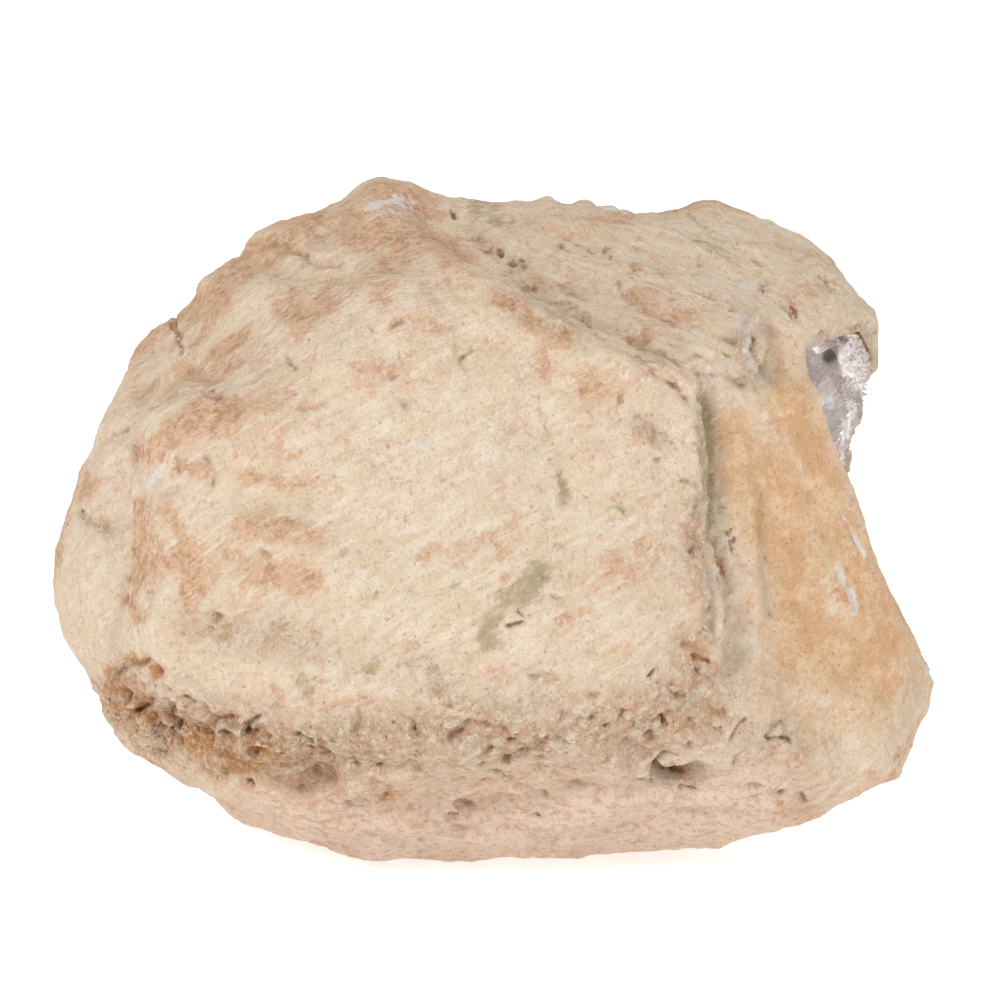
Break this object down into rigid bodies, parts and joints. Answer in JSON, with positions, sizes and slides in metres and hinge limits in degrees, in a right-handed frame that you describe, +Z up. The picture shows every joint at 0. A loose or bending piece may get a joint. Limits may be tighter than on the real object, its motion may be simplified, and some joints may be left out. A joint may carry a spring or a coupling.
{
  "type": "geode half",
  "caption": "Broken limestone nodule, open at one end, its hollow lined with a crust of milky quartz crystals; it rests on a worn flat.",
  "frame": {"origin": "the middle of the stone's box, at the height of the flat that it rests on", "axes": "+X along the stone's length, towards the broken, open end; -Y towards the smooth skin of the front; +Z up"},
  "size_m": [0.3144, 0.2294, 0.2421],
  "materials": {
    "limestone": "dull, rough weathered skin, cream and orange-brown, crumbly low down",
    "milky_quartz": "milky grey-white crystals with glossy flat faces"
  },
  "bodies": {
    "root": {"rock_shell": "limestone", "quartz_crust": "milky_quartz"}
  },
  "joints": []
}
